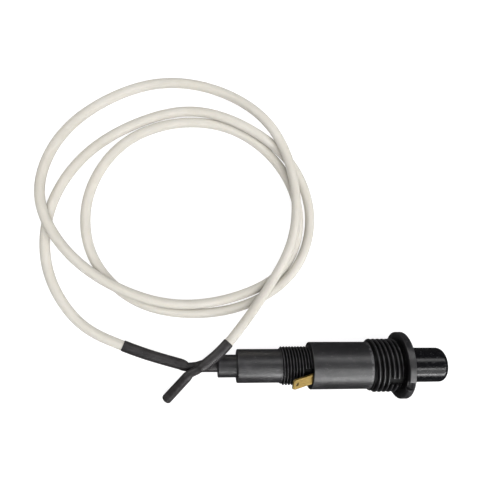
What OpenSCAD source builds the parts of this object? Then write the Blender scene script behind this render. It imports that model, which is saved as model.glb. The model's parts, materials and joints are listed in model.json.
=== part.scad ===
// Push-button piezo spark igniter with a silicone high-tension lead.
// Millimetres, +Z up. The body lies as it rests on a flat surface, on the rim of its flange and
// on the rear edge of its tube, with its button towards +X. The lead lies in loops beside it.
// Places along the body are measured from the tail's end, along the body's own axis.

/* [Rear insulator] */
// Length of the tail that takes the lead's socket
tail_len = 7.8; // [6:0.1:10]
// Diameter of the tail
tail_d = 9.2; // [8:0.1:10.5]
// Length of the smooth tube
tube_len = 18; // [15:0.5:24]
// Diameter of the smooth tube
tube_d = 13.7; // [12.8:0.1:14]
// Outside diameter of the rear thread
rear_thread_d = 15.8; // [15.4:0.1:16.2]
// Pitch of the rear thread
rear_pitch = 1.25; // [1.1:0.05:1.4]
// Number of ridges on the rear thread
rear_ridges = 10; // [8:1:12]

/* [Housing] */
// Length of the smooth barrel
barrel_len = 24.8; // [22:0.1:28]
// Diameter of the smooth barrel
barrel_d = 19.4; // [19:0.1:20]
// Outside diameter of the front thread, which passes through the panel
front_thread_d = 22; // [21.5:0.1:23]
// Pitch of the front thread
front_pitch = 2; // [1.5:0.1:2.2]
// Number of ridges on the front thread
front_ridges = 6; // [5:1:8]
// Diameter of the flange
flange_d = 27.7; // [25:0.1:32]
// Thickness of the flange
flange_t = 3; // [2:0.1:4]
// Angle of the flange's key and the ground strap, from the top of the body round towards -Y
key_angle = 25; // [15:1:40]

/* [Button] */
// Diameter of the button
button_d = 14.3; // [14:0.1:14.6]
// How far the button stands out of the flange
button_out = 17.6; // [15:0.1:19]
// Radius of the button's rounded end
crown = 2.8; // [1:0.1:3.5]
// How far the button travels when it is pressed
press_travel = 8; // [5:0.5:8]

/* [Striker] */
// Diameter of the hammer
hammer_d = 7.2; // [7:0.1:7.4]
// Gap between the hammer and the anvil at rest
strike_gap = 5.1; // [4:0.1:5.5]
// Diameter of each piezo element
piezo_d = 6.5; // [6:0.1:6.6]
// Length of each piezo element
piezo_len = 14; // [10:0.5:14]

/* [Lead] */
// Diameter of the lead over its silicone
lead_d = 4; // [3.6:0.1:4]
// Diameter of the heat-shrink sleeves on the lead
sleeve_d = 4.5; // [4.4:0.1:4.8]

/* [Hidden] */

round_fn = 96;
edge = 0.4;             // radius on the outer edges that the body rests on
gap = 0.05;             // radial clearance of a running fit, and the play at a stop
over = 1;               // how far a cutter runs past the face it cuts

// places along the body
tube_s = tail_len;
rear_thread_s = tube_s + tube_len;
barrel_s = rear_thread_s + rear_ridges * rear_pitch;
front_thread_s = barrel_s + barrel_len;
thread_lead = 0.4;      // plain core before the front thread
thread_relief = 1;      // plain core between the front thread and the flange
thread_depth = 1.15;
rear_thread_depth = 0.7;
flange_s = front_thread_s + thread_lead + front_ridges * front_pitch + thread_relief;
face_s = flange_s + flange_t;
end_s = face_s + button_out;

// the inside of the housing
chamber_d = 16.8;
bore_d = button_d + 2 * gap;
shoulder_s = flange_s - 4;
spigot_end_s = barrel_s + 5.7;

// the button behind its bore
collar_d = 16.2;
collar_len = 2.5;
collar_s = shoulder_s - gap - collar_len;
skirt_bore_d = 12.2;
skirt_end_s = 84.5;
spring_bore_d = 7.8;
spring_bore_end_s = end_s - 3.3;
nub_d = 4.4;
nub_len = 2;

// the guide sleeve and the hammer inside it
guide_d = 11.6;
guide_bore_d = hammer_d + 2 * gap;
guide_end_s = shoulder_s + 3.5;
foot_d = 16.4;
foot_t = 1.2;
anvil_end_s = spigot_end_s + 1.9;
hammer_s = anvil_end_s + strike_gap;
hammer_len = 12;
hammer_end_s = hammer_s + hammer_len;
pin_d = 1.6;
pin_len = 11.2;
pin_s = hammer_s + 7;
slot_w = 1.9;

// the generator behind the anvil
cell_d = 7.6;
cell_s = 10.5;
sleeve_wall = 0.45;
disc_t = 0.6;
head_t = 1;
rear_piezo_s = cell_s + head_t;
disc_s = rear_piezo_s + piezo_len;
front_piezo_s = disc_s + disc_t;
anvil_s = front_piezo_s + piezo_len;
electrode_d = 1.6;
electrode_s = 2.5;
socket_d = 5.1;
socket_end_s = 8;

// the ground strap: a ring round the anvil, an arm, a run along the spigot and a tab
strap_w = 4.8;
strap_t = 0.8;
strap_r = 7.75;
strap_slot_w = 5.2;
ring_d = 9.2;
tab_len = 9.75;
tab_bend = 23;
tab_hole_d = 1.4;
tab_hole_back = 1.9;
tab_taper = 1.2;        // length of the bevels at the tab's end

// the opening that the strap comes out of, between two angles from the body's top towards -Y
window_from = -5;
window_to = 50;
window_r = strap_r + 0.9;
window_len = 3;

// the key groove in the front thread, the notch in the flange and the relief in its corner
key_w = 3.4;
key_len = 7;
notch_w = 4;
notch_depth = 1.6;
notch_t = 1.2;
relief_depth = 0.25;

// springs: radius of the coil, radius of the wire, number of turns
return_coil_r = 7.1;
return_wire_r = 0.4;
return_turns = 8;
impact_coil_r = 2.9;
impact_wire_r = 0.35;
impact_turns = 11;
spring_sides = 6;
spring_steps = 12;

// how the body lies: the tilt puts the flange's rim and the tube's rear edge on the surface
tilt = atan((flange_d - tube_d) / 2 / (flange_s - tube_s));
axis_z = (tube_d / 2 - edge) * cos(tilt) + edge - (tube_s + edge) * sin(tilt);
rear_x = edge * cos(tilt) - (tail_d / 2 - edge) * sin(tilt) - edge;
front_x = (end_s - crown) * cos(tilt) + (button_d / 2 - crown) * sin(tilt) + crown;
mid_x = (rear_x + front_x) / 2;

// the lead's centreline, from the crimp behind the body to the crimp at its free end
route = [
    [-63.4, 0.8, 4], [-74.4, 4, 2.9], [-86.4, 8.5, 2.3],
    [-103.9, 17.5, 2], [-116.4, 38, 2], [-116.4, 62.5, 2], [-104.4, 84, 2],
    [-84.4, 98.5, 2.4], [-60.4, 106, 2.8], [-36.9, 99.5, 5.6], [-16.4, 85, 3.6],
    [-7.4, 62.5, 2], [-14.9, 39.5, 4.8], [-34.4, 25, 2.4], [-58.9, 21, 2],
    [-82.9, 26.5, 2], [-99.9, 44.5, 2], [-101.9, 68.5, 2], [-89.4, 90, 2],
    [-67.4, 100.5, 2], [-42.9, 99.5, 2], [-22.4, 85.5, 2], [-12.4, 63, 2],
    [-18.9, 39.5, 2], [-40.4, 28, 2.2], [-65.4, 25, 4], [-88.9, 32, 6],
    [-108.9, 46.5, 6.2], [-119.9, 68, 5.4], [-113.4, 91.5, 2], [-94.9, 108, 2],
    [-71.9, 117, 2], [-47.4, 114.5, 2.6], [-27.9, 100.5, 9], [-16.9, 78, 7.4],
    [-16.4, 53.5, 6], [-27.9, 31.5, 6.5], [-45, 9.6, 10], [-55.4, 1, 10.7]
];
route_steps = 2;
lead_sides = 12;
body_sleeve_rings = 5;  // rings of the lead that the sleeve by the body covers
free_sleeve_rings = 3;  // rings of the lead that the sleeve at the free end covers

// the free end's sleeve beyond the lead, as points with the sleeve's radius there
free_neck = [-59.9, -2, 8.5];
free_tip = [-68.9, -14, 2.2];
free_terminal_from = 1.8;   // distances from the neck towards the tip
free_terminal_to = 15;

// ---------- helpers ----------

// lays a piece made along +Z down on the surface, as the body lies
module laid() {
    translate([-mid_x, 0, axis_z])
        rotate([0, 90 - tilt, 0])
            children();
}

// turns what is made along +X to an angle from the body's top towards -Y
module at_angle(a) {
    rotate([0, 0, 180 + a])
        children();
}

// a round bar from one place to another along the axis, with rounded ends
module rod(d, from, to, from_r = 0, to_r = 0) {
    r = d / 2;
    rotate_extrude($fn = round_fn)
        union() {
            translate([0, from])
                square([r - from_r, to - from - to_r]);
            translate([0, from + from_r])
                square([r - to_r, to - from - from_r]);
            translate([0, from + from_r])
                square([r, to - from - from_r - to_r]);
            if (from_r > 0)
                translate([r - from_r, from + from_r])
                    intersection() {
                        circle(r = from_r, $fn = 32);
                        translate([0, -from_r])
                            square([from_r, from_r]);
                    }
            if (to_r > 0)
                translate([r - to_r, to - to_r])
                    intersection() {
                        circle(r = to_r, $fn = 32);
                        square([to_r, to_r]);
                    }
        }
}

// a plain hole or bar along the axis
module bar(d, from, to) {
    translate([0, 0, from])
        cylinder(d = d, h = to - from, $fn = round_fn);
}

// thread ridges on a solid core
module ridges(root_d, crest_d, pitch, count, from) {
    root = root_d / 2;
    crest = crest_d / 2;
    side = [
        for (i = [0 : count - 1])
            each [
                [root, from + (i + 0.14) * pitch], [crest, from + (i + 0.39) * pitch],
                [crest, from + (i + 0.61) * pitch], [root, from + (i + 0.86) * pitch]
            ]
    ];
    rotate_extrude($fn = round_fn)
        polygon(concat(
            [[0, from], [root, from]],
            side,
            [[root, from + count * pitch], [0, from + count * pitch]]
        ));
}

// a block at an angle round the body, from one radius and one place to another
module block(angle, width, from_r, to_r, from, to) {
    at_angle(angle)
        translate([from_r, -width / 2, from])
            cube([to_r - from_r, width, to - from]);
}

// the opening beside the ground strap, between two angles
module strap_window(from_r, to_r, from, to) {
    steps = 8;
    wedge = [for (i = [0 : steps]) 180 + window_from + (window_to - window_from) * i / steps];
    translate([0, 0, from])
        linear_extrude(height = to - from)
            polygon(concat(
                [for (a = wedge) to_r * [cos(a), sin(a)]],
                [for (i = [steps : -1 : 0]) from_r * [cos(wedge[i]), sin(wedge[i])]]
            ));
}

// a point on a smooth curve through b and c, where t runs from 0 to 1
function between(a, b, c, d, t) =
    0.5 * (2 * b + (c - a) * t + (2 * a - 5 * b + 4 * c - d) * t * t + (3 * b - a - 3 * c + d) * t * t * t);

// the smooth curve through a list of points, which never dips lower than a height
function curve(p, steps, lowest) =
    let (n = len(p), ends = concat([2 * p[0] - p[1]], p, [2 * p[n - 1] - p[n - 2]]))
    [
        for (i = [0 : n - 2], k = [0 : (i == n - 2 ? steps : steps - 1)])
            let (q = between(ends[i], ends[i + 1], ends[i + 2], ends[i + 3], k / steps))
            [q[0], q[1], max(q[2], lowest)]
    ];

function unit(v) = v / norm(v);
function heading(path, i) = unit(path[min(i + 1, len(path) - 1)] - path[max(i - 1, 0)]);

// one ring of points round a path, square to it
function ring(path, i, r, sides) =
    let (d = heading(path, i), across = unit(cross(d, [0, 0, 1])), up = cross(across, d))
    [for (j = [0 : sides - 1]) path[i] + r * (cos(360 * j / sides) * across + sin(360 * j / sides) * up)];

function wall_faces(rings, sides, first, inward) =
    [
        for (i = [0 : rings - 2], j = [0 : sides - 1])
            let (
                a = first + i * sides + j,
                b = first + i * sides + (j + 1) % sides,
                face = [a, b, b + sides, a + sides]
            )
            inward ? [face[3], face[2], face[1], face[0]] : face
    ];

// a solid round tube along a path
module cable(path, r, sides) {
    n = len(path);
    points = [for (i = [0 : n - 1]) each ring(path, i, r, sides)];
    start = [for (j = [sides - 1 : -1 : 0]) j];
    finish = [for (j = [0 : sides - 1]) (n - 1) * sides + j];
    polyhedron(points, concat(wall_faces(n, sides, 0, false), [start], [finish]), convexity = 10);
}

// a hollow sleeve along a path, with a list of outer and a list of inner radii
module sleeving(path, outer, inner, sides) {
    n = len(path);
    m = n * sides;
    last = m - sides;
    points = concat(
        [for (i = [0 : n - 1]) each ring(path, i, outer[i], sides)],
        [for (i = [0 : n - 1]) each ring(path, i, inner[i], sides)]
    );
    mouths = [
        for (j = [0 : sides - 1])
            let (k = (j + 1) % sides)
            each [[k, j, m + j, m + k], [last + j, last + k, m + last + k, m + last + j]]
    ];
    polyhedron(
        points,
        concat(wall_faces(n, sides, 0, false), wall_faces(n, sides, m, true), mouths),
        convexity = 10
    );
}

// a coil spring along +Z
module spring(coil_r, wire_r, turns, from, to) {
    n = turns * spring_steps;
    low = from + wire_r + gap;
    rise = to - from - 2 * (wire_r + gap);
    path = [for (i = [0 : n]) [coil_r * cos(360 * i / spring_steps), coil_r * sin(360 * i / spring_steps),
        low + rise * i / n]];
    cable(path, wire_r, spring_sides);
}

// a place on the body's axis, once it lies on the surface
function on_axis(s) = [s * cos(tilt) - mid_x, 0, axis_z + s * sin(tilt)];

lead_path = curve(route, route_steps, lead_d / 2);
lead_rings = len(lead_path);

// ---------- the housing and what it holds ----------

module housing() {
    core_d = front_thread_d - 2 * thread_depth;
    color("#2b2b2d")
        laid()
            difference() {
                union() {
                    rod(barrel_d, barrel_s, front_thread_s, edge, 0);
                    bar(core_d, front_thread_s - over, flange_s + over);
                    ridges(core_d, front_thread_d, front_pitch, front_ridges, front_thread_s + thread_lead);
                    rod(flange_d, flange_s, face_s, edge, edge);
                }
                bar(chamber_d, barrel_s - over, shoulder_s);
                bar(bore_d, shoulder_s - over, face_s + over);
                block(key_angle, strap_slot_w, chamber_d / 2 - over, window_r, barrel_s - over,
                    spigot_end_s + over);
                strap_window(chamber_d / 2 - over, window_r, barrel_s - over, barrel_s + window_len);
                // corner relief, so that a panel seats flat on the flange
                difference() {
                    bar(front_thread_d + 0.5, flange_s - thread_relief, flange_s + relief_depth);
                    bar(core_d, flange_s - thread_relief - over, flange_s + over);
                }
                block(key_angle, key_w, core_d / 2 - gap, front_thread_d / 2 + over, flange_s - key_len,
                    flange_s);
                block(key_angle, notch_w, flange_d / 2 - notch_depth, flange_d / 2 + over, flange_s - over,
                    flange_s + notch_t);
            }
}

module rear_insulator() {
    color("#303032")
        laid()
            difference() {
                union() {
                    rod(tail_d, 0, tube_s + over, edge, 0);
                    rod(tube_d, tube_s, rear_thread_s + over, edge, 0);
                    ridges(rear_thread_d - 2 * rear_thread_depth, rear_thread_d, rear_pitch, rear_ridges,
                        rear_thread_s);
                    bar(chamber_d, barrel_s, spigot_end_s);
                }
                bar(socket_d, -over, socket_end_s);
                bar(electrode_d + 2 * gap, socket_end_s - over, cell_s + over);
                bar(cell_d, cell_s, spigot_end_s + over);
                bar(ring_d + 2 * gap, spigot_end_s - strap_t - gap, spigot_end_s + over);
                block(key_angle, strap_slot_w, cell_d / 2, chamber_d, spigot_end_s - strap_t - gap,
                    spigot_end_s + over);
                block(key_angle, strap_slot_w, strap_r - gap, chamber_d, barrel_s - window_len,
                    spigot_end_s);
                strap_window(strap_r - 0.9, chamber_d, barrel_s - window_len, barrel_s);
            }
}

module guide_sleeve() {
    color("#d8d4c8")
        laid()
            difference() {
                union() {
                    bar(foot_d, spigot_end_s, spigot_end_s + foot_t);
                    bar(guide_d, spigot_end_s, guide_end_s);
                }
                bar(guide_bore_d, spigot_end_s - over, guide_end_s + over);
                // the slot that the hammer's pin runs in, and the notch that holds it cocked
                translate([-guide_d, -slot_w / 2, pin_s - strike_gap - slot_w / 2])
                    cube([2 * guide_d, slot_w, strike_gap + slot_w]);
                for (side = [0, 180])
                    rotate([0, 0, side])
                        translate([0, 0, pin_s - slot_w / 2])
                            cube([guide_d, 2.2, slot_w]);
            }
}

// the tab before its hole is made, with a bevelled corner on each side of its end
module tab_blank() {
    shoulder = tab_len - tab_taper;
    inset = tab_taper / 2;
    rotate([90, 0, 90])
        linear_extrude(height = strap_t)
            polygon([
                [0, 0], [strap_w, 0], [strap_w, shoulder], [strap_w - inset, tab_len],
                [inset, tab_len], [0, shoulder]
            ]);
}

module ground_strap() {
    arm_end = strap_r + strap_t;
    color("#d9b45a")
        laid()
            difference() {
                union() {
                    bar(ring_d, spigot_end_s - strap_t, spigot_end_s);
                    block(key_angle, strap_w, cell_d / 2, arm_end, spigot_end_s - strap_t, spigot_end_s);
                    block(key_angle, strap_w, strap_r, arm_end, barrel_s, spigot_end_s);
                    at_angle(key_angle)
                        translate([strap_r, -strap_w / 2, barrel_s])
                            rotate([0, 180 - tab_bend, 0])
                                translate([-strap_t, 0, 0])
                                    difference() {
                                        tab_blank();
                                        translate([-over, strap_w / 2, tab_len - tab_hole_back])
                                            rotate([0, 90, 0])
                                                cylinder(d = tab_hole_d, h = strap_t + 2 * over, $fn = 32);
                                    }
                }
                bar(piezo_d + 2 * gap, spigot_end_s - strap_t - over, spigot_end_s + over);
            }
}

// ---------- the button and its springs ----------

module button() {
    color("#151517")
        laid()
            difference() {
                union() {
                    rod(button_d, collar_s, end_s, 0, crown);
                    bar(collar_d, collar_s, collar_s + collar_len);
                }
                bar(skirt_bore_d, collar_s - over, skirt_end_s);
                difference() {
                    bar(spring_bore_d, skirt_end_s - over, spring_bore_end_s);
                    bar(nub_d, spring_bore_end_s - nub_len, spring_bore_end_s + over);
                }
            }
}

module return_spring() {
    color("#b8bcc0")
        laid()
            spring(return_coil_r, return_wire_r, return_turns, spigot_end_s + foot_t, collar_s);
}

module impact_spring() {
    color("#b8bcc0")
        laid()
            spring(impact_coil_r, impact_wire_r, impact_turns, hammer_end_s, spring_bore_end_s);
}

// ---------- the striker ----------

module hammer() {
    color("#9aa0a6")
        laid()
            difference() {
                union() {
                    rod(hammer_d, hammer_s, hammer_end_s, edge, edge);
                    bar(nub_d, hammer_end_s - over, hammer_end_s + nub_len);
                }
                translate([0, 0, pin_s])
                    rotate([0, 90, 0])
                        cylinder(d = pin_d, h = 2 * hammer_d, center = true, $fn = 48);
            }
}

module hammer_pin() {
    color("#c4c8cc")
        laid()
            translate([0, 0, pin_s])
                rotate([0, 90, 0])
                    cylinder(d = pin_d, h = pin_len, center = true, $fn = 48);
}

// ---------- the generator ----------

module anvil() {
    color("#a8adb2")
        laid()
            rod(piezo_d, anvil_s, anvil_end_s, 0, edge);
}

module piezo_front() {
    color("#b9a98c")
        laid()
            bar(piezo_d, front_piezo_s, anvil_s);
}

module contact_disc() {
    color("#d9b45a")
        laid()
            bar(piezo_d, disc_s, front_piezo_s);
}

module piezo_rear() {
    color("#b9a98c")
        laid()
            bar(piezo_d, rear_piezo_s, disc_s);
}

module crystal_sleeve() {
    color("#e6e2d6")
        laid()
            difference() {
                bar(piezo_d + 2 * gap + 2 * sleeve_wall, rear_piezo_s, anvil_s);
                bar(piezo_d + 2 * gap, rear_piezo_s - over, anvil_s + over);
            }
}

module ht_electrode() {
    color("#d9b45a")
        laid() {
            bar(piezo_d, cell_s, cell_s + head_t);
            bar(electrode_d, electrode_s, cell_s + head_t / 2);
        }
}

// ---------- the lead ----------

module lead() {
    color("#ece8dc")
        cable(lead_path, lead_d / 2, lead_sides);
}

// the stripped strands inside the crimp at each end of the lead
module conductor_ends() {
    way = unit(free_tip - free_neck);
    color("#c8803c") {
        cable([on_axis(-7.5), on_axis(-9.5), [-60.4, -0.4, 4.7], route[0]], 0.5, 8);
        cable([lead_path[lead_rings - 1], [-57.9, -0.9, 9.4], free_neck + 3 * way], 0.5, 8);
    }
}

// the socket that grips the high-tension electrode, with its crimp behind it
module body_terminal() {
    color("#d9b45a")
        laid()
            difference() {
                union() {
                    bar(3.8, -6, 7.4);
                    bar(2.7, -8.5, -5);
                }
                bar(electrode_d + 2 * gap, electrode_s - 0.5, 8);
                bar(1.2, -8.5 - over, -5.5);
            }
}

// heat-shrink from the body's socket, over the crimp and along the lead
module body_sleeve() {
    plug_end = [on_axis(7), on_axis(0), on_axis(-7), on_axis(-9), [-60.8, -0.3, 4.6]];
    plug_outer = [2.45, 2.45, 2.45, 1.75, 1.7];
    plug_inner = [1.95, 1.95, 1.95, 1.4, 1.35];
    color("#2e2e30")
        sleeving(
            concat(plug_end, [for (i = [0 : body_sleeve_rings - 1]) lead_path[i]]),
            concat(plug_outer, [for (i = [0 : body_sleeve_rings - 1]) sleeve_d / 2]),
            concat(plug_inner, [for (i = [0 : body_sleeve_rings - 1]) lead_d / 2 + gap]),
            lead_sides
        );
}

// the outer heat-shrink over the lead's free end
module free_sleeve() {
    first = lead_rings - free_sleeve_rings;
    rings = [for (i = [0 : free_sleeve_rings - 1]) i];
    color("#2e2e30")
        sleeving(
            [for (i = rings) lead_path[first + i]],
            [for (i = rings) sleeve_d / 2],
            [for (i = rings) lead_d / 2 + gap],
            lead_sides
        );
}

// the inner heat-shrink, from the lead's end over the crimp and the terminal
module free_boot() {
    way = unit(free_tip - free_neck);
    color("#2e2e30")
        sleeving(
            [
                lead_path[lead_rings - 1], [-57.4, -0.6, 9.6], free_neck,
                free_neck + 2.5 * way, free_neck + 4.5 * way, free_tip
            ],
            [1.95, 1.65, 1.65, 1.95, 2.1, 2.1],
            [1.2, 1.2, 1.2, 1.6, 1.7, 1.7],
            lead_sides
        );
}

module free_terminal() {
    way = unit(free_tip - free_neck);
    length = free_terminal_to - free_terminal_from;
    color("#d9b45a")
        translate(free_neck + free_terminal_from * way)
            rotate([0, acos(way[2]), atan2(way[1], way[0])])
                difference() {
                    union() {
                        cylinder(d = 2, h = length - over, $fn = 48);
                        translate([0, 0, 2.2])
                            cylinder(d = 3, h = length - 2.2, $fn = 48);
                    }
                    translate([0, 0, 5])
                        cylinder(d = 1.8, h = length, $fn = 48);
                    translate([0, 0, -over])
                        cylinder(d = 1.1, h = 4, $fn = 48);
                }
}

housing();
rear_insulator();
button();
guide_sleeve();
return_spring();
impact_spring();
hammer();
hammer_pin();
anvil();
piezo_front();
contact_disc();
piezo_rear();
crystal_sleeve();
ht_electrode();
ground_strap();
lead();
conductor_ends();
body_terminal();
body_sleeve();
free_sleeve();
free_boot();
free_terminal();
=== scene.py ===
"""The looks of a push-button piezo igniter with its high-tension lead.

Places along the body are in millimetres from the tail's end, along the body's axis. Angles round
the body are in degrees from its top, turning towards -Y.
"""

import json
import math

import bmesh
import bpy
import numpy as np
from mathutils import Matrix, Quaternion, Vector


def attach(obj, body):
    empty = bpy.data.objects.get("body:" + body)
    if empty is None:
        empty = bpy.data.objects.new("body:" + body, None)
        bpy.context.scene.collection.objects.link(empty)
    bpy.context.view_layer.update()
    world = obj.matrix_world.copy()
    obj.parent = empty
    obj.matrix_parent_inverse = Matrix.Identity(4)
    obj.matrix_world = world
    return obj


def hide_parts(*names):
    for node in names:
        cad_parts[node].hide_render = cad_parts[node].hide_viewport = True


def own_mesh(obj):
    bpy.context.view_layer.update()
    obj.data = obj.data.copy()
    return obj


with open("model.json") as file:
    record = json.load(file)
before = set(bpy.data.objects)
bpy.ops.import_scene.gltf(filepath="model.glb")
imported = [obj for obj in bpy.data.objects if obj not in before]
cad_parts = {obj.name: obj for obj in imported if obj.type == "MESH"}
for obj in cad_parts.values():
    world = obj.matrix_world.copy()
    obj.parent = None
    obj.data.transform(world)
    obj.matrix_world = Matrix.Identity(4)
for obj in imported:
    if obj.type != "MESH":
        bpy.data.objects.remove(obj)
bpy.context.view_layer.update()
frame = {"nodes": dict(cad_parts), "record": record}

MM = 0.001

# ---------- the camera and the lead's route ----------

CAMERA_PLACE = Vector((-79.1, 51.6, 204.5)) * MM
CAMERA_TARGET = Vector((-38.6, 52.3, 0)) * MM
CAMERA_ROLL = -90
CAMERA_LENS = 36.375
SENSOR_WIDTH = 36

LEAD_D = 4
ROUTE = [
    (-63.4, 0.8, 4), (-74.4, 4, 2.9), (-86.4, 8.5, 2.3),
    (-103.9, 17.5, 2), (-116.4, 38, 2), (-116.4, 62.5, 2), (-104.4, 84, 2),
    (-84.4, 98.5, 2.4), (-60.4, 106, 2.8), (-36.9, 99.5, 5.6), (-16.4, 85, 3.6),
    (-7.4, 62.5, 2), (-14.9, 39.5, 4.8), (-34.4, 25, 2.4), (-58.9, 21, 2),
    (-82.9, 26.5, 2), (-99.9, 44.5, 2), (-101.9, 68.5, 2), (-89.4, 90, 2),
    (-67.4, 100.5, 2), (-42.9, 99.5, 2), (-22.4, 85.5, 2), (-12.4, 63, 2),
    (-18.9, 39.5, 2), (-40.4, 28, 2.2), (-65.4, 25, 4), (-88.9, 32, 6),
    (-108.9, 46.5, 6.2), (-119.9, 68, 5.4), (-113.4, 91.5, 2), (-94.9, 108, 2),
    (-71.9, 117, 2), (-47.4, 114.5, 2.6), (-27.9, 100.5, 9), (-16.9, 78, 7.4),
    (-16.4, 53.5, 6), (-27.9, 31.5, 6.5), (-45, 9.6, 10), (-55.4, 1, 10.7),
]
ROUTE_STEPS = 12
TAIL_BEND = Vector((-60.8, -0.3, 4.6))
FREE_BEND = Vector((-57.4, -0.6, 9.6))
FREE_NECK = Vector((-59.9, -2, 8.5))
FREE_TIP = Vector((-68.9, -14, 2.2))

# ---------- sizes of the body, as the frame has them ----------

# places along it
TAIL_END = 7.8
SOCKET_END = 8
CELL_FLOOR = 10.5
TUBE_END = 25.8
REAR_THREAD_END = 38.3
SPIGOT_END = 44
STRAP_END = 45
THREAD_FROM = 63.1
THREAD_MOUNT = 69.5
COLLAR_FROM = 69.95
COLLAR_END = 72.45
CHAMBER_END = 72.5
FLANGE_FROM = 76.5
FACE = 79.5
SKIRT_BORE_END = 84.5
SPRING_BORE_END = 93.8
BUTTON_END = 97.1

# radii, from the socket behind it to the flange
ELECTRODE_R = 0.85
SOCKET_R = 2.55
CELL_R = 3.8
SPRING_BORE_R = 3.9
TAIL_R = 4.6
SKIRT_BORE_R = 6.1
TUBE_R = 6.85
BUTTON_R = 7.15
BUTTON_BORE_R = 7.2
STRAP_R = 7.75
COLLAR_R = 8.1
CHAMBER_R = 8.4
BARREL_R = 9.7
FLANGE_R = 13.85

# threads, with the relief between the front one and the flange
REAR_R = 7.9
REAR_DEPTH = 0.7
REAR_PITCH = 1.25
FRONT_R = 11
FRONT_DEPTH = 1.15
FRONT_PITCH = 2
FRONT_CREST = 65.3
RELIEF_ROOT_R = 9.9
RELIEF_R = 11.25
RELIEF_DEPTH = 0.25

# the strap's slot and window, the key groove and the flange's notch
KEY_ANGLE = 25
KEY_WIDTH = 3.4
KEY_LEN = 7
NOTCH_WIDTH = 4
NOTCH_FLOOR_R = 12.3
NOTCH_LEN = 1.2
STRAP_SLOT = 5.2
WINDOW = (-5, 50)
WINDOW_LEN = 3


def body_axis():
    """The body's axis, from the mount on its front thread: its start, its direction and its up."""
    mounts = {m["name"]: m for m in frame["record"]["mounts"]}
    along = -Vector(mounts["panel_thread"]["axis"]).normalized()
    middle = Vector(mounts["panel_thread"]["pos_m"])
    up = Vector((-along.z, 0, along.x))
    return middle - THREAD_MOUNT * MM * along, along, up


START, ALONG, UP = body_axis()
SIDE = ALONG.cross(UP).normalized()


def at(s, r=0.0, angle=0.0):
    """A point in metres, s along the body and r from its axis, both in millimetres."""
    a = math.radians(angle)
    return START + MM * (s * ALONG + r * (math.cos(a) * UP + math.sin(a) * SIDE))


# ---------- making meshes ----------


def add_piece(name, points, faces, body, node, material, sharp=40):
    """A smooth mesh that stands for a CAD node, rides on its body and takes the given material."""
    mesh = bpy.data.meshes.new(name)
    mesh.from_pydata([tuple(p) for p in points], [], [tuple(f) for f in faces])
    clean = bmesh.new()
    clean.from_mesh(mesh)
    bmesh.ops.remove_doubles(clean, verts=clean.verts, dist=0.2e-6)
    bmesh.ops.dissolve_degenerate(clean, edges=clean.edges, dist=0.1e-6)
    bmesh.ops.recalc_face_normals(clean, faces=clean.faces)
    clean.to_mesh(mesh)
    clean.free()
    mesh.shade_smooth()
    mesh.set_sharp_from_angle(angle=math.radians(sharp))
    piece = bpy.data.objects.new(name, mesh)
    bpy.context.scene.collection.objects.link(piece)
    mesh.materials.append(material)
    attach(piece, body)
    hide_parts(node)
    return piece


def rounded(corners, steps=5):
    """A closed outline through (s, r, fillet) corners, each rounded with an arc."""
    n = len(corners)
    outline = []
    for i, (s, r, fillet) in enumerate(corners):
        here = np.array((s, r), float)
        back = np.array(corners[i - 1][:2], float) - here
        ahead = np.array(corners[(i + 1) % n][:2], float) - here
        if fillet == 0:
            outline.append((s, r))
            continue
        back /= np.linalg.norm(back)
        ahead /= np.linalg.norm(ahead)
        half = math.acos(max(-1.0, min(1.0, float(back @ ahead)))) / 2
        reach = fillet / math.tan(half)
        first, last = here + reach * back, here + reach * ahead
        middle = here + fillet / math.sin(half) * (back + ahead) / np.linalg.norm(back + ahead)
        for k in range(steps + 1):
            t = k / steps
            towards = (1 - t) * (first - middle) + t * (last - middle)
            outline.append(tuple((middle + fillet * towards / np.linalg.norm(towards)).tolist()))
    return outline


def finely(outline, step, radius):
    """The outline with its stretch at one radius cut into small steps."""
    cut = []
    for i, (s, r) in enumerate(outline):
        cut.append((s, r))
        s1, r1 = outline[(i + 1) % len(outline)]
        if abs(r - radius) < 1e-6 and abs(r1 - radius) < 1e-6:
            n = max(1, round(abs(s1 - s) / step))
            cut += [(s + (s1 - s) * k / n, r) for k in range(1, n)]
    return cut


def angles(columns, edges=()):
    """Even angles round the body, with a close pair at each edge of a slot."""
    even = [360 * k / columns for k in range(columns)]
    for edge in edges:
        even = [a for a in even if abs(a - edge % 360) > 0.3]
        even += [edge - 0.15, edge + 0.15]
    return sorted(a % 360 for a in even)


def mark(piece, name, value):
    """Stores a value at each point of a body piece, from its place along the body and its radius."""
    stored = piece.data.attributes.new(name, "FLOAT", "POINT")
    for vertex, item in zip(piece.data.vertices, stored.data):
        away = (vertex.co - START) / MM
        s = away.dot(ALONG)
        item.value = value(s, (away - s * ALONG).length)


def turned(outline, around, shape=None):
    """Points and faces of a closed outline turned about the body's axis. shape(s, r, angle) may
    change a point's place and radius."""
    points = []
    for a in around:
        for s, r in outline:
            here = shape(s, r, a) if shape else (s, r)
            points.append(at(here[0], here[1], a))
    n = len(outline)
    faces = []
    for c in range(len(around)):
        d = (c + 1) % len(around)
        for i in range(n):
            j = (i + 1) % n
            faces.append((c * n + i, c * n + j, d * n + j, d * n + i))
    return points, faces


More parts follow.
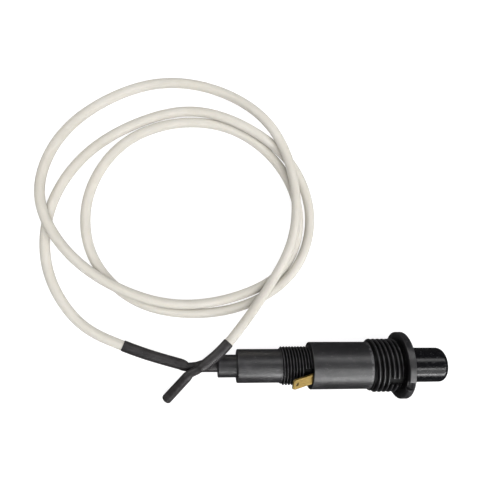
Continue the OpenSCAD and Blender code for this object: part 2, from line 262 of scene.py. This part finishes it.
def swept(path, radii, sides, inner=None):
    """Points and faces of a tube along a path in metres. With inner radii it has an inner wall too."""
    path = [Vector(p) for p in path]
    n = len(path)
    points = []
    across = None
    frames = []
    for i in range(n):
        way = (path[min(i + 1, n - 1)] - path[max(i - 1, 0)]).normalized()
        side = across if across is not None else way.cross(Vector((0, 0, 1)))
        side = (side - way * side.dot(way)).normalized()
        across = side
        frames.append((side, way.cross(side)))
    for rings in [radii] + ([inner] if inner else []):
        for i in range(n):
            side, up = frames[i]
            for k in range(sides):
                a = 2 * math.pi * k / sides
                points.append(path[i] + rings[i] * (math.cos(a) * side + math.sin(a) * up))
    faces = []
    m = n * sides
    for wall in range(2 if inner else 1):
        for i in range(n - 1):
            for k in range(sides):
                a = wall * m + i * sides + k
                b = wall * m + i * sides + (k + 1) % sides
                faces.append((a, b, b + sides, a + sides))
    if inner:
        for i in (0, n - 1):
            for k in range(sides):
                a = i * sides + k
                b = i * sides + (k + 1) % sides
                faces.append((a, b, m + b, m + a))
    else:
        faces.append(range(sides))
        faces.append(range(m - sides, m))
    return points, faces


def smooth_step(t):
    t = max(0.0, min(1.0, t))
    return t * t * (3 - 2 * t)


def smooth_route(points, steps, lowest):
    """The smooth curve through a list of points in millimetres, which never dips below a height."""
    points = [Vector(p) for p in points]
    ends = [2 * points[0] - points[1]] + points + [2 * points[-1] - points[-2]]
    line = []
    for i in range(len(points) - 1):
        a, b, c, d = ends[i : i + 4]
        for k in range(steps):
            t = k / steps
            square = (2 * a - 5 * b + 4 * c - d) * t**2
            cube = (3 * b - a - 3 * c + d) * t**3
            line.append(0.5 * (2 * b + (c - a) * t + square + cube))
    line.append(points[-1])
    for _ in range(2 * steps):
        line = [line[0]] + [
            0.25 * line[i - 1] + 0.5 * line[i] + 0.25 * line[i + 1] for i in range(1, len(line) - 1)
        ] + [line[-1]]
    return [Vector((p.x, p.y, max(p.z, lowest))) for p in line]


# ---------- materials ----------


class Surface:
    """A node material that is built up in steps from a Principled shader."""

    def __init__(self, name, roughness, metallic=0.0, specular=0.5, **sockets):
        self.material = bpy.data.materials.new(name)
        self.material.use_nodes = True
        self.nodes = self.material.node_tree.nodes
        self.links = self.material.node_tree.links
        self.shader = self.nodes["Principled BSDF"]
        self.shader.inputs["Roughness"].default_value = roughness
        self.shader.inputs["Metallic"].default_value = metallic
        self.shader.inputs["Specular IOR Level"].default_value = specular
        for socket, value in sockets.items():
            self.shader.inputs[socket.replace("_", " ")].default_value = value
        self.place = self.nodes.new("ShaderNodeTexCoord").outputs["Object"]
        self.normal = None

    def stretched(self, scale):
        """The object's coordinates, scaled by a given amount along each direction."""
        mapping = self.nodes.new("ShaderNodeMapping")
        mapping.inputs["Scale"].default_value = scale
        self.links.new(self.place, mapping.inputs["Vector"])
        return mapping.outputs["Vector"]

    def noise(self, scale, detail=3.0, stretch=None, distortion=0.0):
        node = self.nodes.new("ShaderNodeTexNoise")
        node.inputs["Scale"].default_value = scale
        node.inputs["Detail"].default_value = detail
        node.inputs["Distortion"].default_value = distortion
        self.links.new(self.stretched(stretch) if stretch else self.place, node.inputs["Vector"])
        return node.outputs["Fac"]

    def ramp(self, value, low, high, to_low=0.0, to_high=1.0):
        node = self.nodes.new("ShaderNodeMapRange")
        node.inputs["From Min"].default_value = low
        node.inputs["From Max"].default_value = high
        node.inputs["To Min"].default_value = to_low
        node.inputs["To Max"].default_value = to_high
        self.links.new(value, node.inputs["Value"])
        return node.outputs["Result"]

    def mix(self, share, a, b):
        """A colour between a and b, each a colour or a node's output."""
        node = self.nodes.new("ShaderNodeMix")
        node.data_type = "RGBA"
        self.links.new(share, node.inputs["Factor"])
        for socket, colour in (("A", a), ("B", b)):
            target = [x for x in node.inputs if x.name == socket and x.type == "RGBA"][0]
            if isinstance(colour, tuple):
                target.default_value = (*colour, 1)
            else:
                self.links.new(colour, target)
        return [x for x in node.outputs if x.type == "RGBA"][0]

    def math(self, operation, a, b):
        node = self.nodes.new("ShaderNodeMath")
        node.operation = operation
        for socket, value in zip(node.inputs, (a, b)):
            if isinstance(value, (int, float)):
                socket.default_value = value
            else:
                self.links.new(value, socket)
        return node.outputs["Value"]

    def bump(self, height, distance, strength=1.0):
        node = self.nodes.new("ShaderNodeBump")
        node.inputs["Distance"].default_value = distance
        node.inputs["Strength"].default_value = strength
        self.links.new(height, node.inputs["Height"])
        if self.normal is not None:
            self.links.new(self.normal, node.inputs["Normal"])
        self.normal = node.outputs["Normal"]
        self.links.new(self.normal, self.shader.inputs["Normal"])

    def soft_edges(self, radius):
        node = self.nodes.new("ShaderNodeBevel")
        node.samples = 4
        node.inputs["Radius"].default_value = radius
        self.normal = node.outputs["Normal"]
        self.links.new(self.normal, self.shader.inputs["Normal"])

    def pointed(self, low, high, to_low=0.0, to_high=1.0):
        """A value that grows from hollows to outer edges, from how pointed the mesh is."""
        point = self.nodes.new("ShaderNodeNewGeometry").outputs["Pointiness"]
        return self.ramp(point, low, high, to_low, to_high)

    def scratches(self, scale, stretch, low, high):
        """Thin broken lines along one direction."""
        lines = self.ramp(self.noise(scale, 2.0, stretch, 0.4), low, high)
        patches = self.ramp(self.noise(scale / 4, 2.0), 0.45, 0.62)
        return self.math("MULTIPLY", lines, patches)

    def stored(self, name):
        node = self.nodes.new("ShaderNodeAttribute")
        node.attribute_name = name
        return node.outputs["Fac"]

    def colour(self, output):
        self.links.new(output, self.shader.inputs["Base Color"])

    def roughness(self, output):
        self.links.new(output, self.shader.inputs["Roughness"])


def moulded_black(name, dark, light, roughness, scuff, specular):
    """Moulded plastic with a fine grain, cloudy tone, pale scuffs, and pale worn edges that also carry a
    painted highlight. Where a point is marked as painted shade, the colour goes near black and the specular
    weak.
    """
    s = Surface(name, roughness)
    tone = s.mix(s.ramp(s.noise(180, 4.0), 0.35, 0.7), dark, light)
    scuffs = s.scratches(1300, (0.4, 1, 1), 0.6, 0.74)
    smudges = s.ramp(s.noise(150, 5.0, distortion=0.6), 0.58, 0.74, 0, 0.5)
    dust = s.ramp(s.noise(2600, 3.0), 0.6, 0.8, 0, 0.6)
    worn = s.math("MULTIPLY", s.stored("worn"), s.ramp(s.noise(1100, 3.0), 0.4, 0.6))
    marks = s.math("MAXIMUM", scuffs, smudges)
    # pale edges from pointiness: partly edge wear, partly a painted highlight on edges and thread crests
    marks = s.math("MAXIMUM", marks, s.math("MAXIMUM", dust, s.pointed(0.52, 0.6)))
    marks = s.math("MAXIMUM", s.math("MULTIPLY", marks, 0.5), worn)
    # painted shade: the colour goes near black and the specular weak where the shell is marked as shaded
    hollow = s.stored("hollow")
    s.colour(s.mix(hollow, s.mix(marks, tone, scuff), (0.002, 0.002, 0.002)))
    s.roughness(s.ramp(s.noise(700, 3.0), 0.3, 0.7, roughness - 0.06, roughness + 0.08))
    s.links.new(s.ramp(hollow, 0, 1, specular, 0.1), s.shader.inputs["Specular IOR Level"])
    s.bump(s.noise(1900, 4.0), 0.05 * MM, 0.6)
    s.bump(scuffs, 0.015 * MM, 0.6)
    return s.material


def polished_black(name):
    """Glossy plastic with fine scuffs and a moulded waviness."""
    s = Surface(name, 0.2, specular=0.5)
    scuffs = s.scratches(1500, (0.35, 1, 1), 0.58, 0.7)
    dust = s.ramp(s.noise(3600, 2.0), 0.68, 0.82, 0, 0.4)
    marks = s.math("MAXIMUM", scuffs, dust)
    s.colour(s.mix(s.math("MULTIPLY", marks, 0.3), (0.003, 0.003, 0.004), (0.05, 0.05, 0.056)))
    satin = s.ramp(s.noise(900, 3.0), 0.35, 0.7, 0.12, 0.3)
    s.roughness(s.math("MAXIMUM", satin, s.math("MULTIPLY", marks, 0.5)))
    s.bump(s.noise(420, 2.0), 0.035 * MM, 0.6)
    s.bump(s.noise(2400, 3.0), 0.012 * MM, 0.6)
    s.bump(scuffs, 0.01 * MM, 0.6)
    return s.material


def silicone():
    """Satin off-white silicone with faint stains and dust."""
    s = Surface("silicone", 0.56, specular=0.3, Subsurface_Weight=0.12, Subsurface_Scale=1.2 * MM)
    s.shader.inputs["Subsurface Radius"].default_value = (1.0, 0.85, 0.6)
    cloud = s.mix(s.ramp(s.noise(60, 4.0), 0.35, 0.68), (0.52, 0.497, 0.447), (0.565, 0.542, 0.495))
    stain = s.mix(s.ramp(s.noise(22, 5.0), 0.56, 0.78, 0, 0.3), cloud, (0.47, 0.43, 0.35))
    specks = s.ramp(s.noise(1500, 2.0), 0.72, 0.78, 0, 0.25)
    s.colour(s.mix(specks, stain, (0.36, 0.34, 0.3)))
    s.roughness(s.ramp(s.noise(350, 3.0), 0.3, 0.7, 0.5, 0.65))
    s.bump(s.noise(900, 3.0), 0.02 * MM, 0.6)
    return s.material


def heat_shrink():
    """Dark shrunk sleeve, with a soft sheen and small creases along its length."""
    s = Surface("heat_shrink", 0.42, specular=0.55)
    tone = s.mix(s.ramp(s.noise(300, 4.0), 0.35, 0.68), (0.014, 0.0125, 0.013), (0.03, 0.0275, 0.0285))
    dust = s.ramp(s.noise(2200, 2.0), 0.66, 0.78, 0, 0.4)
    s.colour(s.mix(dust, tone, (0.12, 0.12, 0.125)))
    s.roughness(s.ramp(s.noise(600, 3.0), 0.3, 0.7, 0.34, 0.52))
    s.bump(s.noise(420, 3.0), 0.08 * MM, 0.5)
    s.bump(s.noise(3500, 2.0), 0.015 * MM, 0.6)
    return s.material


def metal(name, dark, light, roughness, grain, stretch):
    """Bare metal with drawn or turned lines and a slight tarnish."""
    s = Surface(name, roughness, metallic=1.0)
    s.soft_edges(0.08 * MM)
    s.colour(s.mix(s.ramp(s.noise(240, 4.0), 0.35, 0.7), dark, light))
    s.roughness(s.ramp(s.noise(grain, 2.0, stretch), 0.3, 0.7, roughness - 0.07, roughness + 0.12))
    s.bump(s.noise(grain, 2.0, stretch), 0.006 * MM, 0.5)
    return s.material


def fired(name, dark, light, roughness, specular):
    """A plain solid with a fine grain: acetal, ceramic or a lining tube."""
    s = Surface(name, roughness, specular=specular)
    s.soft_edges(0.08 * MM)
    s.colour(s.mix(s.ramp(s.noise(500, 4.0), 0.35, 0.7), dark, light))
    s.roughness(s.ramp(s.noise(1400, 3.0), 0.3, 0.7, roughness - 0.08, roughness + 0.1))
    s.bump(s.noise(3000, 3.0), 0.012 * MM, 0.6)
    return s.material


housing_black = moulded_black(
    "housing_black", (0.005, 0.005, 0.006), (0.011, 0.010, 0.012), 0.4, (0.12, 0.118, 0.125), 1.2
)
insulator_black = moulded_black(
    "insulator_black", (0.006, 0.006, 0.007), (0.013, 0.012, 0.014), 0.4, (0.12, 0.118, 0.13), 1.2
)
button_black = polished_black("button_black")
white_silicone = silicone()
shrink_black = heat_shrink()
strap_brass = metal("strap_brass", (0.37, 0.25, 0.08), (0.53, 0.385, 0.14), 0.42, 1500, (0.2, 1, 1))
turned_brass = metal("turned_brass", (0.5, 0.36, 0.13), (0.7, 0.53, 0.24), 0.3, 1800, (1, 0.2, 1))
bright_steel = metal("bright_steel", (0.4, 0.41, 0.43), (0.62, 0.63, 0.65), 0.26, 2200, (0.2, 1, 1))
copper_strand = metal("copper_strand", (0.5, 0.24, 0.12), (0.72, 0.4, 0.24), 0.32, 2600, (0.2, 1, 1))
acetal = fired("acetal", (0.62, 0.6, 0.53), (0.74, 0.72, 0.66), 0.42, 0.4)
ceramic = fired("ceramic", (0.38, 0.31, 0.22), (0.5, 0.42, 0.32), 0.6, 0.3)

CARRIED = {
    "guide_sleeve": acetal,
    "crystal_sleeve": acetal,
    "hammer": bright_steel,
    "hammer_pin": bright_steel,
    "anvil": bright_steel,
    "piezo_front": ceramic,
    "piezo_rear": ceramic,
    "contact_disc": turned_brass,
    "ht_electrode": turned_brass,
    "body_terminal": turned_brass,
    "free_terminal": turned_brass,
    "conductor_ends": copper_strand,
    "ground_strap": strap_brass,
}


def dress_carried_nodes():
    for node, material in CARRIED.items():
        mesh = frame["nodes"][node].data
        mesh.materials.clear()
        mesh.materials.append(material)
    edge = frame["nodes"]["ground_strap"].modifiers.new("edge", "BEVEL")
    edge.width = 0.09 * MM
    edge.segments = 3
    edge.limit_method = "ANGLE"


# ---------- the body ----------


def ridge(s, angle, first, pitch, low, high):
    """Height from 0 to 1 of a right-hand thread whose ridge passes first at the body's top."""
    phase = ((s - first) / pitch - angle / 360 + 0.5) % 1 - 0.5
    side = 1 - smooth_step((abs(phase) - 0.05) / 0.29)
    return side * smooth_step((s - low) / (0.6 * pitch)) * smooth_step((high - s) / (0.6 * pitch))


def half_angle(width, radius):
    return math.degrees(math.asin(width / 2 / radius))


def turn_from(angle, middle):
    """The turn from one angle to another, the short way round."""
    return (angle - middle + 180) % 360 - 180


def in_window(angle):
    middle = (WINDOW[0] + WINDOW[1]) / 2
    return abs(turn_from(angle, middle)) < (WINDOW[1] - WINDOW[0]) / 2


def flat_slot(angle, depth):
    """The radius of a flat slot for the strap at an angle, or nothing outside the slot."""
    turn = abs(turn_from(angle, KEY_ANGLE))
    if turn > math.degrees(math.atan(STRAP_SLOT / 2 / depth)):
        return None
    return depth / math.cos(math.radians(turn))


def make_housing():
    window_end = REAR_THREAD_END + WINDOW_LEN
    outline = rounded([
        (REAR_THREAD_END, CHAMBER_R, 0.1), (REAR_THREAD_END, BARREL_R, 0.4),
        (THREAD_FROM - 1, BARREL_R, 0), (THREAD_FROM - 0.4, BARREL_R, 0), (THREAD_FROM, BARREL_R, 0),
        (THREAD_FROM, FRONT_R, 0), (FLANGE_FROM - 0.3, FRONT_R, 0),
        (FLANGE_FROM - 0.3, RELIEF_ROOT_R, 0), (FLANGE_FROM + RELIEF_DEPTH, RELIEF_ROOT_R, 0.05),
        (FLANGE_FROM + RELIEF_DEPTH, RELIEF_R, 0.05), (FLANGE_FROM, RELIEF_R, 0.05),
        (FLANGE_FROM, FLANGE_R, 0.4), (FACE, FLANGE_R, 0.5), (FACE, BUTTON_BORE_R, 0.25),
        (CHAMBER_END, BUTTON_BORE_R, 0.1), (CHAMBER_END, CHAMBER_R, 0.1),
        (STRAP_END + 0.05, CHAMBER_R, 0), (STRAP_END, CHAMBER_R, 0),
        (window_end + 0.05, CHAMBER_R, 0), (window_end, CHAMBER_R, 0),
    ])
    fine = finely(outline, 0.11, FRONT_R)
    key = half_angle(KEY_WIDTH, FRONT_R)
    notch = half_angle(NOTCH_WIDTH, FLANGE_R)
    slot_depth = STRAP_R + 0.9

    def shape(s, r, a):
        turn = abs(turn_from(a, KEY_ANGLE))
        if abs(r - FRONT_R) < 1e-6 and THREAD_FROM <= s < FLANGE_FROM:
            height = ridge(s, a, FRONT_CREST, FRONT_PITCH, THREAD_FROM + 0.2, FLANGE_FROM - 0.7)
            if turn < key and s > FLANGE_FROM - KEY_LEN:
                height = 0
            r = FRONT_R - FRONT_DEPTH + FRONT_DEPTH * height
        if turn < notch and r > NOTCH_FLOOR_R and s < FLANGE_FROM + NOTCH_LEN:
            r = NOTCH_FLOOR_R + 0.02 * (r - NOTCH_FLOOR_R)
        # the window's pocket and the flat slot that the strap lies in
        if r < 9 and s < window_end + 0.01 and in_window(a):
            r = max(r, slot_depth)
        if r < 9 and s < STRAP_END + 0.01 and flat_slot(a, slot_depth):
            r = flat_slot(a, slot_depth)
        return s, r

    def hollow(s, r):
        """Painted shade, near black, on the rear face and the inside, the flange's back round the thread,
        and the thread's valleys.
        """
        if s < REAR_THREAD_END + 0.1 or r < 9:
            return 0.8
        if FLANGE_FROM - 0.2 < s < FLANGE_FROM + 1.3 and r < 13.4:
            return 0.8
        if THREAD_FROM + 0.3 < s < FLANGE_FROM:
            return 1 - smooth_step((r - FRONT_R + FRONT_DEPTH) / (0.8 * FRONT_DEPTH))
        return 0

    def worn(s, r):
        """The barrel's front edge, where the thread begins."""
        at_edge = THREAD_FROM - 0.5 < s < THREAD_FROM + 0.2
        return 0.7 if at_edge and r < FRONT_R - 0.5 * FRONT_DEPTH else 0

    edges = [KEY_ANGLE - key, KEY_ANGLE + key, KEY_ANGLE - notch, KEY_ANGLE + notch, *WINDOW]
    points, faces = turned(fine, angles(240, edges), shape)
    shell = add_piece("housing_shell", points, faces, "body", "housing", housing_black)
    # painted shade on the rear face, the inside, the flange's back and the thread's valleys
    mark(shell, "hollow", hollow)
    mark(shell, "worn", worn)


def make_insulator():
    outline = rounded([
        (0, SOCKET_R, 0.2), (0, TAIL_R, 0.45), (TAIL_END, TAIL_R, 0.12), (TAIL_END, TUBE_R, 0.45),
        (TUBE_END, TUBE_R, 0), (TUBE_END, REAR_R, 0), (REAR_THREAD_END, REAR_R, 0),
        (REAR_THREAD_END, CHAMBER_R, 0.05), (SPIGOT_END, CHAMBER_R, 0.2), (SPIGOT_END, CELL_R, 0.1),
        (CELL_FLOOR, CELL_R, 0.1), (CELL_FLOOR, ELECTRODE_R, 0),
        (SOCKET_END, ELECTRODE_R, 0), (SOCKET_END, SOCKET_R, 0.1),
    ])
    fine = finely(outline, 0.075, REAR_R)
    slot_floor = STRAP_R - 0.05

    def shape(s, r, a):
        if abs(r - REAR_R) < 1e-6:
            height = ridge(s, a, TUBE_END + 1, REAR_PITCH, TUBE_END, REAR_THREAD_END + 0.3)
            r = REAR_R - REAR_DEPTH + REAR_DEPTH * height
        # the window's floor, then the flat slot that the strap lies in
        if r > TUBE_R and REAR_THREAD_END - WINDOW_LEN < s < REAR_THREAD_END + 0.1 and in_window(a):
            r = TUBE_R
        elif r > 8 and s > REAR_THREAD_END - 0.01 and flat_slot(a, slot_floor):
            r = min(r, flat_slot(a, slot_floor))
        return s, r

    def hollow(s, r):
        """Painted shade, near black, on the window's floor and the inside beside it, and on the thread's
        valleys.
        """
        if s > REAR_THREAD_END - WINDOW_LEN and r < 7:
            return 1
        if TUBE_END + 0.3 < s < REAR_THREAD_END:
            return 1 - smooth_step((r - REAR_R + REAR_DEPTH) / (0.8 * REAR_DEPTH))
        return 0

    points, faces = turned(fine, angles(240, WINDOW), shape)
    shell = add_piece("insulator_shell", points, faces, "body", "rear_insulator", insulator_black)
    # painted shade on the window's floor, the inside beside it and the thread's valleys
    mark(shell, "hollow", hollow)


def make_button():
    outline = rounded([
        (COLLAR_FROM, SKIRT_BORE_R, 0.1), (COLLAR_FROM, COLLAR_R, 0.15), (COLLAR_END, COLLAR_R, 0.15),
        (COLLAR_END, BUTTON_R, 0.05), (BUTTON_END, BUTTON_R, 2.8), (BUTTON_END, 0, 0),
        (SPRING_BORE_END, 0, 0), (SPRING_BORE_END, SPRING_BORE_R, 0.3),
        (SKIRT_BORE_END, SPRING_BORE_R, 0.1), (SKIRT_BORE_END, SKIRT_BORE_R, 0.1),
    ], steps=10)
    points, faces = turned(outline, angles(144))
    add_piece("button_cap", points, faces, "button", "button", button_black)


def spring_piece(name, node, body, coil_r, wire_r, turns, low, high):
    """A coil spring between two places along the body, with a closed turn at each end."""
    steps = 28
    count = turns * steps
    path = []
    for i in range(count + 1):
        turn = i / steps
        closed = 0.8
        if turn < closed:
            rise = 2 * wire_r * turn
        elif turn > turns - closed:
            rise = (high - low - 2 * wire_r) - 2 * wire_r * (turns - turn)
        else:
            first = 2 * wire_r * closed
            last = (high - low - 2 * wire_r) - first
            rise = first + (last - first) * (turn - closed) / (turns - 2 * closed)
        path.append(at(low + wire_r + rise, coil_r, 360 * turn))
    points, faces = swept(path, [wire_r * MM] * len(path), 10)
    return add_piece(name, points, faces, body, node, bright_steel)


def make_springs():
    outer = spring_piece(
        "return_coil", "return_spring", "body", coil_r=7.1, wire_r=0.4, turns=8, low=45.25, high=69.9
    )
    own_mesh(outer)
    inner = spring_piece(
        "impact_coil", "impact_spring", "button", coil_r=2.9, wire_r=0.35, turns=11, low=63.05, high=93.75
    )
    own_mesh(inner)


# ---------- the lead and its sleeves ----------


def make_lead():
    """The lead, as a round curve along its route."""
    line = [MM * p for p in smooth_route(ROUTE, ROUTE_STEPS, LEAD_D / 2)]
    data = bpy.data.curves.new("lead_cable", "CURVE")
    data.dimensions = "3D"
    data.bevel_depth = LEAD_D / 2 * MM
    data.bevel_resolution = 7
    data.use_fill_caps = True
    spline = data.splines.new("POLY")
    spline.points.add(len(line) - 1)
    for point, place in zip(spline.points, line):
        point.co = (*place, 1)
    spline.use_smooth = True
    data.materials.append(white_silicone)
    cable = bpy.data.objects.new("lead_cable", data)
    bpy.context.scene.collection.objects.link(cable)
    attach(cable, "body")
    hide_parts("lead")
    return cable, line


def lengths(path):
    total = [0.0]
    for a, b in zip(path, path[1:]):
        total.append(total[-1] + (b - a).length)
    return total


def even_path(path, step):
    """The same path with points at even distances."""
    total = lengths(path)
    n = max(2, round(total[-1] / step))
    even = []
    i = 0
    for k in range(n + 1):
        d = total[-1] * k / n
        while i < len(path) - 2 and total[i + 1] < d:
            i += 1
        t = (d - total[i]) / max(total[i + 1] - total[i], 1e-12)
        even.append(path[i].lerp(path[i + 1], min(t, 1)))
    return even


def sleeve(name, node, path, profile, wall, sides=32):
    """A shrunk sleeve along a path in metres. profile has (distance, radius) pairs in millimetres, and
    the radius runs smoothly from each to the next."""
    path = even_path(path, 0.35 * MM)
    total = lengths(path)
    radii = []
    for d in (x / MM for x in total):
        k = max(i for i in range(len(profile) - 1) if profile[i][0] <= d + 1e-6 or i == 0)
        (d0, r0), (d1, r1) = profile[k], profile[k + 1]
        radii.append((r0 + (r1 - r0) * smooth_step((d - d0) / (d1 - d0))) * MM)
    inner = [max(r - wall * MM, 0.3 * MM) for r in radii]
    points, faces = swept(path, radii, sides, inner)
    return add_piece(name, points, faces, "body", node, shrink_black)


def make_sleeves(line):
    covered = [p for i, p in enumerate(line) if i <= 2 * ROUTE_STEPS]
    plug = [at(7), at(4), at(0), at(-4), at(-7), at(-9), TAIL_BEND * MM]
    path = plug + covered
    end = lengths(path)[-1] / MM
    neck = 14.2
    body_profile = [
        (0, 2.3), (0.6, 2.45), (neck - 0.6, 2.42), (neck + 2.2, 1.72), (neck + 4.2, 1.7),
        (neck + 7.4, 2.22), (end - 0.5, 2.25), (end, 2.15),
    ]
    body_sleeve = sleeve("tail_sleeve", "body_sleeve", path, body_profile, 0.25)

    outer_path = line[-ROUTE_STEPS - 1 :]
    outer_end = lengths(outer_path)[-1] / MM
    outer = sleeve(
        "end_sleeve_outer", "free_sleeve", outer_path,
        [(0, 2.16), (0.4, 2.25), (outer_end - 0.2, 2.25), (outer_end, 2.2)], 0.24,
    )
    way = (FREE_TIP - FREE_NECK).normalized()
    boot_path = [
        line[-2], line[-1], FREE_BEND * MM, FREE_NECK * MM, (FREE_NECK + 2.5 * way) * MM,
        (FREE_NECK + 4.5 * way) * MM, FREE_TIP * MM,
    ]
    boot_end = lengths(boot_path)[-1] / MM
    boot = sleeve(
        "end_sleeve_inner", "free_boot", boot_path,
        [
            (0, 1.95), (1.1, 1.95), (2.4, 1.66), (6.4, 1.66), (9.2, 2.04),
            (boot_end - 0.3, 2.1), (boot_end, 1.98),
        ],
        0.4,
    )
    return [body_sleeve, outer, boot]


# ---------- the studio ----------


def make_camera():
    data = bpy.data.cameras.new("camera")
    data.sensor_width = SENSOR_WIDTH
    data.lens = CAMERA_LENS
    camera = bpy.data.objects.new("camera", data)
    bpy.context.scene.collection.objects.link(camera)
    look = (CAMERA_TARGET - CAMERA_PLACE).normalized()
    camera.location = CAMERA_PLACE
    camera.rotation_mode = "QUATERNION"
    camera.rotation_quaternion = Quaternion(look, math.radians(CAMERA_ROLL)) @ look.to_track_quat("-Z", "Y")
    data.clip_start = 0.01
    bpy.context.scene.camera = camera


def add_softbox(name, direction, distance, size, power):
    """An area light that looks at the body from a direction, with its first side along the body."""
    data = bpy.data.lights.new(name, "AREA")
    data.shape = "RECTANGLE"
    data.size, data.size_y = size
    data.energy = power
    light = bpy.data.objects.new(name, data)
    bpy.context.scene.collection.objects.link(light)
    away = Vector(direction).normalized()
    across = Vector((1, 0, 0)) - away.x * away
    across.normalize()
    light.location = distance * away
    light.rotation_mode = "QUATERNION"
    light.rotation_quaternion = Matrix((across, away.cross(across), away)).transposed().to_quaternion()
    return light


def add_stage(name, points, faces, glow, albedo):
    """A white surface of the studio. It doesn't mirror in the glossy parts."""
    mesh = bpy.data.meshes.new(name)
    mesh.from_pydata(points, [], faces)
    surface = bpy.data.objects.new(name, mesh)
    bpy.context.scene.collection.objects.link(surface)
    s = Surface(name + "_white", 0.9, specular=0.0, Emission_Color=(1, 1, 1, 1), Emission_Strength=glow)
    paint = s.mix(s.ramp(s.noise(3, 2.0), 0.3, 0.7), (albedo,) * 3, (albedo + 0.02,) * 3)
    s.colour(paint)
    mesh.materials.append(s.material)
    surface.visible_glossy = False
    return surface


def make_studio():
    add_stage("floor", [(-3, -3, 0), (3, -3, 0), (3, 3, 0), (-3, 3, 0)], [(0, 1, 2, 3)], 0.86, 0.26)
    around = [(2.9 * math.cos(math.radians(a)), 2.9 * math.sin(math.radians(a))) for a in range(0, 360, 15)]
    n = len(around)
    wall = [(x, y, z) for z in (-0.01, 4) for x, y in around]
    panels = [(i, (i + 1) % n, n + (i + 1) % n, n + i) for i in range(n)]
    backdrop = add_stage("backdrop", wall, panels, 0.95, 0.2)
    backdrop.visible_diffuse = False

    world = bpy.data.worlds.new("studio")
    bpy.context.scene.world = world
    world.use_nodes = True
    background = world.node_tree.nodes["Background"]
    background.inputs["Color"].default_value = (1, 1, 1, 1)
    background.inputs["Strength"].default_value = 0.05

    add_softbox("key", (0.36, -0.6, 0.66), 0.9, (1.0, 0.75), 3.4)
    add_softbox("low_strip", (0.36, -0.74, 0.54), 0.8, (1.0, 0.1), 2.6)
    add_softbox("high_strip", (0.36, -0.22, 0.88), 0.85, (1.0, 0.08), 1.6)
    add_softbox("far_strip", (0.36, 0.6, 0.66), 0.9, (1.0, 0.24), 1.6)
    add_softbox("back", (-0.75, 0.55, 0.35), 0.9, (0.6, 0.5), 2)
    fill = add_softbox("fill", (0.1, 0.0, 1.0), 1.1, (1.2, 1.2), 12)
    fill.visible_glossy = False
    bpy.context.scene.view_settings.view_transform = "Standard"


# ---------- putting it together ----------

make_camera()
lead, lead_line = make_lead()
sleeves = make_sleeves(lead_line)
make_housing()
make_insulator()
make_button()
make_springs()
dress_carried_nodes()
make_studio()
